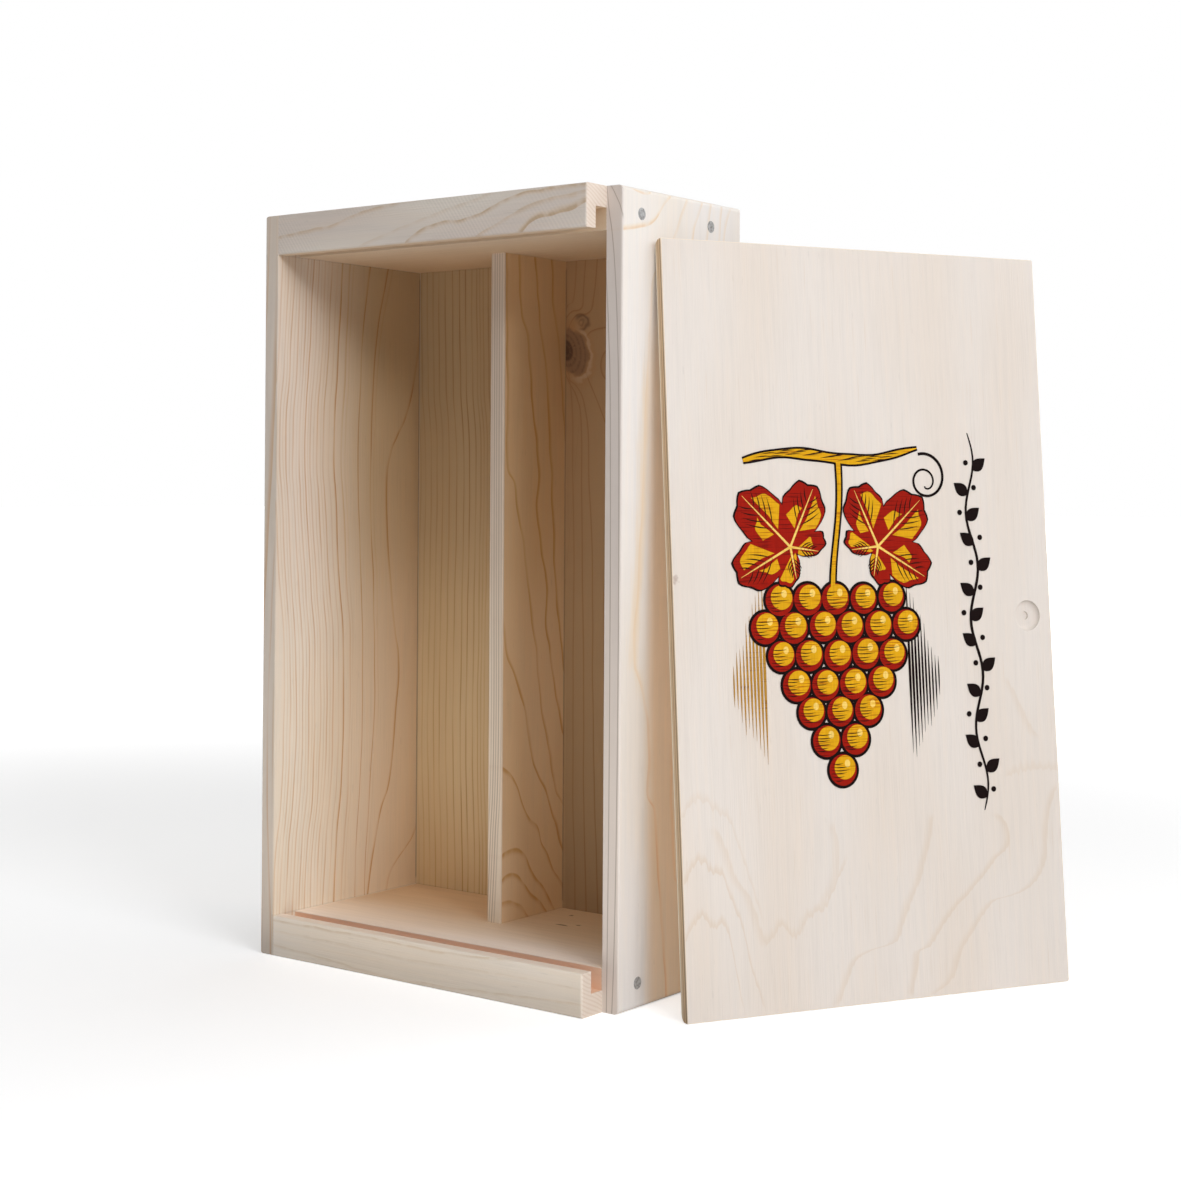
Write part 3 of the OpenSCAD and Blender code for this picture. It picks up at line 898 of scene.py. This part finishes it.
def front_edge(g, position, colour, lines, in_front, painted_shading):
    """A board's narrow front edge: pale, with late wood that runs down it as thin dark lines, and painted
    shade that makes it darker towards the top.
    """
    pale = paint_shading(g, linear(PINE_PALE), position, painted_shading)
    edge = g.mix(pale, linear(EDGE_LINE), lines * 0.85)
    return g.mix(colour, edge, in_front(g, position) * 0.9)


def divider_details(g, position, colour, height):
    """The divider's front edge is nearly as pale as the outside, with painted shade that makes it darker
    towards the top.
    """
    x, y, z = position
    lines = g.profile(x - g.curve(z, DIVIDER_EDGE_DRIFT), DIVIDER_EDGE, 0.75, 0.35)
    return front_edge(g, position, colour, lines, divider_front, DIVIDER_EDGE_PAINTED_SHADING), height


def panel_details(g, position, colour, height):
    """A large knot half behind the divider, and a swirl above it. The right bay is redder and darker:
    painted shade, deepest towards the bottom.
    """
    x, y, z = position
    inner = panel_inside(g, position)
    # Painted shade in the right bay: redder and darker, more so towards the bottom.
    bay = g.ramp(x, -2.0, 6.0) * inner
    colour = g.mix(colour, linear(PANEL_RED), bay * 0.5)
    colour = g.shade(colour, 1.0 - bay * (0.08 + g.ramp(z, 290.0, 60.0) * 0.27))
    lean = (z - KNOT_AT[1]) * 0.2
    across = x - KNOT_AT[0] + lean
    colour = knot(g, colour, across, z - KNOT_AT[1], KNOT_SIZE, inner)
    colour = swirl(g, colour, x - SWIRL_AT[0], z - SWIRL_AT[1], SWIRL_SIZE, inner)
    return colour, height


BOARDS = {
    "side_left": board("side_left", "side", left_wood, left_lines, INNER_PAINTED_SHADING, left_inside, left_inside),
    "side_right": board("side_right", "side", right_wood, right_lines, INNER_PAINTED_SHADING, right_inside,
                        right_outside, right_details),
    "end_top": board("end_top", "end", top_wood, top_lines, CEILING_PAINTED_SHADE,
                     end_inside(top_low, lambda z: z - top_low.z), top_front, top_details),
    "end_bottom": board("end_bottom", "end", bottom_wood, bottom_lines, FLOOR_PAINTED_SHADING,
                        end_inside(bottom_low, lambda z: bottom_high.z - z), bottom_front, floor_marks),
    "back_panel": board("back_panel", "panel", panel_wood, panel_lines, PANEL_PAINTED_SHADING, panel_inside,
                        details=panel_details),
    "divider": board("divider", "side", divider_wood, divider_lines, DIVIDER_PAINTED_SHADING,
                     details=divider_details),
}
for node, wood_material in BOARDS.items():
    dress(node, wood_material)


def lid_axes():
    """Across, up and outward directions of the leaning lid and its corner, read from its own faces."""
    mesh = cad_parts["lid"].data
    areas = {}
    for face in mesh.polygons:
        facing = tuple(round(c, 3) for c in face.normal)
        areas[facing] = areas.get(facing, 0.0) + face.area
    largest = sorted(areas, key=areas.get)[-2:]
    front = Vector(min(largest, key=lambda normal: normal[1])).normalized()
    up = (Vector((0, 0, 1)) - front * front.z).normalized()
    across = up.cross(front)
    points = [vertex.co for vertex in mesh.vertices]
    corner = [min(p.dot(axis) for p in points) for axis in (across, up)]
    corner.append(max(p.dot(front) for p in points))
    return across, up, front, [c / MM for c in corner]


LID_ACROSS, LID_UP, LID_FRONT, LID_CORNER = lid_axes()
LID_SPECK_AT = (1.2, 186.4)
# Contour lines of the lid's face: arches as (across, up), the others as (up, across)
LID_ARCHES = [
    ([(0, 57), (2.8, 61.5), (5.1, 65.1), (9, 67), (13.2, 62.4), (18.6, 60.5), (21.1, 53.8), (24.6, 45.3),
      (27.6, 37.3), (30.4, 23.6), (35.3, 7.7)], 0.9),
    ([(0, 35), (3, 38.5), (5.9, 42.5), (8.6, 43.8), (11.3, 40.7), (14.5, 39.2), (17.8, 39.9), (20.4, 36.8),
      (21.8, 30.1), (23.4, 20.4), (25.4, 9.7)], 0.9),
    ([(0, 84), (4, 90), (9, 93), (16, 88), (22, 84.5), (27, 72), (31, 60), (36, 44)], 0.5),
    ([(37.3, 30.7), (41.9, 32.7), (46.6, 37.2), (52, 31.8), (55.4, 33), (59.2, 39.5), (66.1, 41.4),
      (71, 47.4), (74.7, 53.1), (78.5, 59.7)], 0.7),
    ([(167, 94.8), (174.4, 96.4), (182.6, 97.2), (196, 95.9)], 0.5),
]
LID_CONTOURS = [
    ([(30.7, 37.9), (35.6, 36.4), (49.6, 31.4), (58.8, 25.2), (69.8, 21.2), (78.8, 17.1)], 0.6),
    ([(2.1, 73.5), (10, 77.5), (18.9, 82.8), (22.5, 90), (26, 104), (32.5, 107.2), (43.7, 112.8),
      (50.9, 117), (59.2, 120), (66.5, 122.9), (78, 125.5)], 0.7),
    ([(2.6, 111.3), (11.8, 113.6), (20.1, 115.6), (21.8, 120.5), (27.7, 125.9), (36.7, 134.1),
      (43.5, 142.3), (50.5, 150.5), (58.6, 158.9), (63.1, 164.7), (70.1, 165.7), (76.4, 161.9)], 0.8),
    ([(2.3, 124.6), (7.9, 132.6), (18.2, 137), (25.2, 142.6), (33.3, 149.5), (39.2, 156.4), (40.8, 165.7),
      (43, 173.8), (48.2, 180.9), (56.7, 185.5), (74.2, 187.9), (87.2, 192.8)], 0.7),
    ([(34.7, 56.8), (41.1, 60.7), (42.8, 66.8), (47.2, 69.5), (56.2, 74.8), (64.5, 76.4), (77.2, 74.5)],
      0.5),
    ([(112.8, 183.5), (120.3, 178.6), (128.2, 175), (137.3, 170.2)], 0.5),
]


def lid_position(g):
    """Distance across the lid, up it, and into it from its front face."""
    x, y, z = g.position()
    u, v, w = [x * a[0] + y * a[1] + z * a[2] - c
               for a, c in zip((LID_ACROSS, LID_UP, LID_FRONT), LID_CORNER)]
    return u, v, w * -1.0


def lid_lines(g, at, along, lines, side):
    """Faint contour lines of the lid's rotary-cut veneer, each only as long as its own points."""
    late = 0.0
    for points, weight in lines:
        start, end = points[0][0], points[-1][0]
        here = g.ramp(along, start - 3.0, start + 1.0) * g.ramp(along, end + 3.0, end - 1.0)
        late = g.most(late, g.streak((at - g.curve(along, points)) * side, 4.5, 1.0) * here * weight)
    return late


def lid_material():
    g = new_graph("lid_birch")
    u, v, w = lid_position(g)
    wood = variety(
        seed=81.0, inner_pale=PLY_TAN, inner_warm=(0.88, 0.81, 0.72),
        pale=BIRCH_PALE, warm=BIRCH_WARM, late=BIRCH_LATE, late_dark=(0.80, 0.69, 0.59),
    )
    colour, height, late = wood_surface(g, u, w, v, wood, g.ramp(w, 3.4, 4.4))
    ragged = g.noise(u / 1.4, v / 12.0, 0.0, 141.0) * 1.3
    contours = lid_lines(g, v + ragged, u, LID_ARCHES, -1.0)
    contours = g.most(contours, lid_lines(g, u + ragged * 0.4, v, LID_CONTOURS, 1.0))
    front = g.ramp(w, 0.5, 0.1)
    colour = g.mix(colour, linear(BIRCH_LATE), contours * front * 0.6)
    streaks = g.noise(u / 0.8, v / 26.0, 0.0, 145.0)
    colour = g.mix(colour, linear(BIRCH_LATE), g.ramp(streaks, 0.7, 1.6) * 0.3)
    speck = g.distance((u - LID_SPECK_AT[0]) / 2.0, (v - LID_SPECK_AT[1]) / 2.6)
    speck = speck + g.noise(u / 1.5, v / 1.5, 0.0, 147.0) * 0.3
    colour = g.mix(colour, linear(BIRCH_SPECK), g.ramp(speck, 1.0, 0.2) * front * 0.55)
    rim = g.most(g.ramp(u, 0.35, 0.05), g.ramp(u, LID_WIDTH - 0.35, LID_WIDTH - 0.05))
    rim = g.most(rim, g.most(g.ramp(v, 0.35, 0.05), g.ramp(v, LID_HEIGHT - 0.35, LID_HEIGHT - 0.05)))
    plies = g.bands(w, PLIES)
    grit = g.noise(v / 0.5, u / 0.5, w / 0.5, 149.0, detail=2.0)
    colour = g.mix(colour, g.shade(plies, 1.0 + grit * 0.05), rim)
    return g.finish(colour, 0.62 - late * 0.1, height, 0.025)


def lid_extent():
    points = [vertex.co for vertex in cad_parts["lid"].data.vertices]
    spans = []
    for axis in (LID_ACROSS, LID_UP):
        reach = [p.dot(axis) for p in points]
        spans.append((max(reach) - min(reach)) / MM)
    return spans


LID_WIDTH, LID_HEIGHT = lid_extent()


dress("lid", lid_material())


class Design:
    """Flat shapes of the printed design in each ink, as millimetres across and up the lid."""

    def __init__(self):
        self.shapes = {name: [] for name in PRINT_INKS}
        self.lift = 0

    def put(self, ink, polygon):
        self.shapes[ink].append((polygon, self.lift))


def disc(centre, radius, count=32, squash=1.0):
    """A circle, or an upright ellipse where squash is not 1."""
    turns = [2 * math.pi * i / count for i in range(count)]
    return [(centre[0] + radius * math.cos(t), centre[1] + radius * squash * math.sin(t)) for t in turns]


def turned(points, centre, degrees):
    """Points turned about (0, 0) and then moved to a centre."""
    cosine, sine = math.cos(math.radians(degrees)), math.sin(math.radians(degrees))
    return [(centre[0] + x * cosine - y * sine, centre[1] + x * sine + y * cosine) for x, y in points]


def stroke(points, widths):
    """The outline of a line drawn through points, with a width at each of them."""
    left, right = [], []
    for i, (x, y) in enumerate(points):
        before, after = points[max(i - 1, 0)], points[min(i + 1, len(points) - 1)]
        run, climb = after[0] - before[0], after[1] - before[1]
        length = math.hypot(run, climb)
        aside = (-climb / length * widths[i] / 2, run / length * widths[i] / 2)
        left.append((x + aside[0], y + aside[1]))
        right.append((x - aside[0], y - aside[1]))
    return left + right[::-1]


def tapered(start, end, width, bend=0.0):
    """A stroke that swells from a point and runs out to a point."""
    run, climb = end[0] - start[0], end[1] - start[1]
    length = math.hypot(run, climb)
    points, widths = [], []
    for i in range(9):
        t = i / 8
        sag = math.sin(math.pi * t) * bend
        points.append((start[0] + run * t - climb / length * sag, start[1] + climb * t + run / length * sag))
        widths.append(max(width * math.sin(math.pi * t), 0.06))
    return stroke(points, widths)


def leaf_reach(angle):
    """Distance from a vine leaf's stalk to its outline, for an angle from its middle rib."""
    lobes = abs(math.cos(2.5 * angle)) ** 0.75
    teeth = abs((angle * 9.5 / math.pi) % 1.0 - 0.5) * 0.14
    notch = min(1.0, 0.30 + 1.6 * (1.0 - abs(angle) / math.pi))
    return (0.56 + 0.44 * lobes + teeth) * notch * (1.0 + 0.16 * math.cos(angle))


def leaf(design, centre, size, turn):
    """A vine leaf with five lobes: dark rim, gold fields between pale ribs, and hatching."""
    steps = [math.radians(a) for a in range(-177, 180, 3)]

    def at(angle, reach):
        return -math.sin(angle) * reach, math.cos(angle) * reach

    def put(ink, points):
        design.put(ink, turned(points, centre, turn))

    put("black", [at(a, leaf_reach(a) * size) for a in steps])
    put("red", [at(a, leaf_reach(a) * size - 0.9) for a in steps])
    for rib in (-144, -72, 0, 72, 144):
        middle = math.radians(rib)
        length = leaf_reach(middle) * size
        tip = at(middle, length * 0.93)
        put("light", stroke([(0, 0), (tip[0] * 0.5, tip[1] * 0.5), tip], [1.1, 0.8, 0.15]))
        for side in (-1, 1):
            edge = [middle + side * math.radians(a) for a in range(5, 33, 3)]
            rim = [at(a, leaf_reach(a) * size * (0.86 if side < 0 else 0.62)) for a in edge]
            put("gold", rim[::-1] + [at(middle + side * 0.16, length * k) for k in (0.5, 0.28)])
            for k in (0.34, 0.46, 0.58, 0.70):
                start = at(middle, length * k)
                away = at(middle + side * 0.62, length * 0.5 * (1.15 - k))
                put("lines", tapered(start, (start[0] + away[0], start[1] + away[1]), 0.6, side * 0.5))


def grape(design, chance, centre, radius):
    """A round grape lit from the upper right, with a red shadow side and engraved lines."""
    u, v = centre
    design.put("black", disc(centre, radius + 1.25))
    design.put("red", disc(centre, radius))
    design.put("gold", disc((u + radius * 0.15, v + radius * 0.16), radius * 0.77))
    design.put("light", disc((u + radius * 0.34, v + radius * 0.40), radius * 0.20, 14, 1.25))
    for level in (-0.62, -0.42, -0.2, 0.02, 0.24, 0.45):
        half = math.sqrt(1.0 - level * level) * radius * 0.88
        start = (u - half, v + level * radius + chance.uniform(-0.25, 0.25))
        end = (u + half * chance.uniform(-0.1, 0.8), start[1])
        design.put("lines", tapered(start, end, 0.45, -0.35))


def garland(design, u, low, high):
    """A thin waving stem with small leaves on both sides."""
    steps = [i / 60 for i in range(61)]
    points = [(u + 2.6 * math.sin(t * math.pi * 7), low + (high - low) * t) for t in steps]
    design.put("black", stroke(points, [0.3 + 1.0 * abs(math.sin(math.pi * t)) ** 0.4 for t in steps]))
    rounded = [(9.0 * t, 2.9 * math.sin(math.pi * t ** 0.8)) for t in [k / 8 for k in range(9)]]
    blade = rounded + [(x, -y) for x, y in rounded[-2:0:-1]]
    for i in range(14):
        at = points[2 + i * 4]
        side = 1 if i % 2 else -1
        design.put("black", turned(blade, at, 38.0 if side > 0 else 142.0))
        design.put("black", disc((at[0] - side * 3.6, at[1] + 3.4), 1.25, 16))


def twig(design):
    """The cane across the top with its bark lines, the stalk of the bunch and a tendril."""
    steps = [i / 30 for i in range(31)]
    cane = [(36 + 90 * t, 238 + 2.4 * math.sin(t * 7.0) + 5.0 * t) for t in steps]
    thick = [2.2 + 3.6 * math.sin(math.pi * (t * 0.86 + 0.1)) + 0.5 * math.sin(t * 23.0) for t in steps]
    stalk = [(84 - 4.0 * t + 1.2 * math.sin(t * 5.0), 241 - 60 * t) for t in steps]
    for ink, trim in (("black", 0.0), ("gold", 1.9)):
        design.put(ink, stroke(cane, [w - trim for w in thick]))
        design.put(ink, stroke(stalk, [4.2 - trim - 0.6 * math.sin(t * 3.0) for t in steps]))
    for i in range(24):
        x, y = cane[1 + i]
        y += (i % 3 - 1) * 0.9
        design.put("lines", tapered((x, y), (x + 8.0, y + 0.7), 0.5, 0.2))
    curl = []
    for i in range(64):
        t = i / 63
        radius = 9.5 * (1.0 - t) ** 0.8 + 1.0
        angle = math.radians(110 - 600 * t)
        curl.append((130.0 + radius * math.cos(angle), 232.0 - 4.0 * t + radius * math.sin(angle)))
    design.put("black", stroke(curl, [1.4 - 0.7 * i / 63 for i in range(64)]))


def print_design():
    """A bunch of grapes under a cane with two leaves, hatching beside it and a garland."""
    design = Design()
    chance = random.Random(5)
    for side, edge, ink in HATCHES:
        for i in range(10):
            u = edge + side * (i * 1.7 - 5.0)
            middle = 151.0 - i * 1.2 + chance.uniform(-3, 3)
            half = 46.0 - i * 4.0
            width = 1.3 - i * 0.07
            design.put(ink, tapered((u, middle - half), (u, middle + half * 0.75), width))
    design.lift = 1
    twig(design)
    for row, count in enumerate(GRAPE_ROWS):
        for i in range(count):
            u = BUNCH_AT[0] + (i - (count - 1) / 2) * GRAPE_STEP[0] + chance.uniform(-0.4, 0.4)
            v = BUNCH_AT[1] - row * GRAPE_STEP[1] + chance.uniform(-0.4, 0.4)
            grape(design, chance, (u, v), GRAPE_RADIUS + chance.uniform(-0.15, 0.25))
    design.lift = 2
    for stalk, size, turn in LEAVES:
        leaf(design, stalk, size, turn)
    garland(design, *GARLAND)
    return design.shapes


def ink_material(name, colour, worn_to):
    """Ink on bare wood: the fibres show through it as fine darker and lighter streaks."""
    g = new_graph(name)
    u, v, w = lid_position(g)
    fibre = g.noise(u / 0.6, v / 16.0, 0.0, 151.0, detail=1.0)
    engraved = g.noise(u / 13.0, v / 0.55, 0.0, 153.0)
    cloud = g.noise(u / 9.0, v / 9.0, 0.0, 155.0)
    shade = g.mix(linear(colour), linear(worn_to), g.ramp(engraved + cloud * 0.4, 0.15, 1.3) * 0.85)
    shade = g.shade(shade, 1.0 + fibre * 0.08 + cloud * 0.06)
    return g.finish(shade, 0.6, fibre, 0.01, specular=0.06)


def add_print():
    """Each ink as its own thin shapes on the lid's face, the later ones a hair higher."""
    for rank, (name, shapes) in enumerate(print_design().items()):
        points, faces = [], []
        for i, (polygon, lift) in enumerate(shapes):
            layer = rank + lift * len(PRINT_INKS)
            height = INK_BASE + layer * INK_LAYER + (i % 12) * INK_STEP
            first, count = len(points), len(polygon)
            for depth in (-INK_BASE, height):
                points += [LID_ACROSS * ((LID_CORNER[0] + u) * MM) + LID_UP * ((LID_CORNER[1] + v) * MM)
                           + LID_FRONT * ((LID_CORNER[2] + depth) * MM) for u, v in polygon]
            ring = list(range(count))
            faces.append([first + count + k for k in ring])
            faces.append([first + k for k in ring[::-1]])
            for k in ring:
                after = (k + 1) % count
                faces.append([first + k, first + after, first + count + after, first + count + k])
        mesh = bpy.data.meshes.new("print_" + name)
        mesh.from_pydata(points, [], faces)
        mesh.materials.append(ink_material("ink_" + name, *PRINT_INKS[name]))
        shape = bpy.data.objects.new("print_" + name, mesh)
        bpy.context.scene.collection.objects.link(shape)
        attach(shape, "root")


add_print()


def steel_material():
    g = new_graph("nail_steel")
    x, y, z = g.position()
    grime = g.noise(x / 1.2, y / 1.2, z / 1.2, detail=3.0)
    colour = g.mix(linear(STEEL_PALE), linear(STEEL_DARK), g.ramp(grime, -0.6, 0.8))
    return g.finish(colour, 0.5 + grime * 0.08, grime, 0.05, metallic=0.25)


for nails in ("corner_nails", "back_brads", "divider_nails"):
    dress(nails, steel_material())


def add_floor():
    """White floor that keeps the shadows near the box and runs into the white backdrop."""
    bpy.ops.mesh.primitive_plane_add(size=FLOOR_SIZE)
    floor = bpy.context.object
    floor.name = "floor"
    g = new_graph("floor_white")
    x, y, z = g.position()
    far = g.ramp(g.distance(x, y), *FLOOR_FADE)
    seen = Field(g, g.add("LightPath").outputs["Is Camera Ray"])
    diffuse = g.add("BsdfDiffuse")
    diffuse.inputs["Color"].default_value = (FLOOR_ALBEDO, FLOOR_ALBEDO, FLOOR_ALBEDO, 1.0)
    glow = g.add("Emission", {"Strength": seen * (far * (1.0 - FLOOR_GLOW) + FLOOR_GLOW)})
    both = g.add("AddShader")
    g.tree.links.new(diffuse.outputs[0], both.inputs[0])
    g.tree.links.new(glow.outputs[0], both.inputs[1])
    output = g.add("OutputMaterial")
    g.tree.links.new(both.outputs[0], output.inputs["Surface"])
    floor.data.materials.append(g.owner)


def add_world():
    """White to look at. As a light it is dim, and brighter behind the box."""
    world = bpy.data.worlds.new("studio")
    bpy.context.scene.world = world
    g = Graph(world)
    rays = g.add("LightPath")
    seen = g.most(Field(g, rays.outputs["Is Camera Ray"]), Field(g, rays.outputs["Is Glossy Ray"]))
    seen = g.most(seen, Field(g, rays.outputs["Is Transmission Ray"]))
    behind = g.add("VectorMath", operation="DOT_PRODUCT")
    g.tree.links.new(g.add("TexCoord").outputs["Generated"], behind.inputs[0])
    behind.inputs[1].default_value = AMBIENT_BACK_DIRECTION
    from_behind = g.ramp(Field(g, behind.outputs["Value"]), 0.0, 1.0)
    ambient = g.add("Background", {"Strength": from_behind * (AMBIENT_BACK - AMBIENT) + AMBIENT})
    white = g.add("Background")
    for background in (ambient, white):
        background.inputs["Color"].default_value = (1.0, 1.0, 1.0, 1.0)
    mixed = g.add("MixShader")
    g.feed(mixed.inputs[0], seen)
    g.tree.links.new(ambient.outputs[0], mixed.inputs[1])
    g.tree.links.new(white.outputs[0], mixed.inputs[2])
    output = g.add("OutputWorld")
    g.tree.links.new(mixed.outputs[0], output.inputs["Surface"])


def add_softbox(name, location, towards, size, watts, colour, spread=180.0):
    """A rectangular softbox at a place. Its back faces the given direction."""
    lamp = bpy.data.lights.new(name, "AREA")
    lamp.shape = "RECTANGLE"
    lamp.size, lamp.size_y = size
    lamp.energy = watts
    lamp.color = colour
    lamp.spread = math.radians(spread)
    softbox = bpy.data.objects.new(name, lamp)
    softbox.visible_camera = False
    bpy.context.scene.collection.objects.link(softbox)
    softbox.location = location
    softbox.rotation_euler = Vector(towards).to_track_quat("Z", "Y").to_euler()


def add_lights():
    """Large key light on the right, soft overhead light, and two small fills for bounced light."""
    middle = (cad_bounds[0] + cad_bounds[1]) / 2
    for name, (direction, distance, *rest) in FAR_SOFTBOXES.items():
        towards = Vector(direction).normalized()
        add_softbox(name, middle + towards * distance, towards, *rest)
    for name, fill in FILLS.items():
        add_softbox(name, *fill)


def add_camera():
    lens = bpy.data.cameras.new("camera")
    lens.sensor_width = SENSOR_MM
    lens.lens = FOCAL_PX / PHOTO_PX * SENSOR_MM
    lens.shift_x = (PHOTO_PX / 2 - AXIS_PX[0]) / PHOTO_PX
    lens.shift_y = (AXIS_PX[1] - PHOTO_PX / 2) / PHOTO_PX
    camera = bpy.data.objects.new("camera", lens)
    bpy.context.scene.collection.objects.link(camera)
    turn = Matrix.Rotation(math.radians(CAMERA_AZIMUTH), 4, "Z")
    tilt = Matrix.Rotation(math.radians(90.0 - CAMERA_ELEVATION), 4, "X")
    roll = Matrix.Rotation(math.radians(CAMERA_ROLL), 4, "Z")
    camera.matrix_world = Matrix.Translation(CAMERA_AT) @ turn @ tilt @ roll
    bpy.context.scene.camera = camera


add_floor()
add_world()
add_lights()
add_camera()
bpy.context.scene.view_settings.view_transform = "Standard"
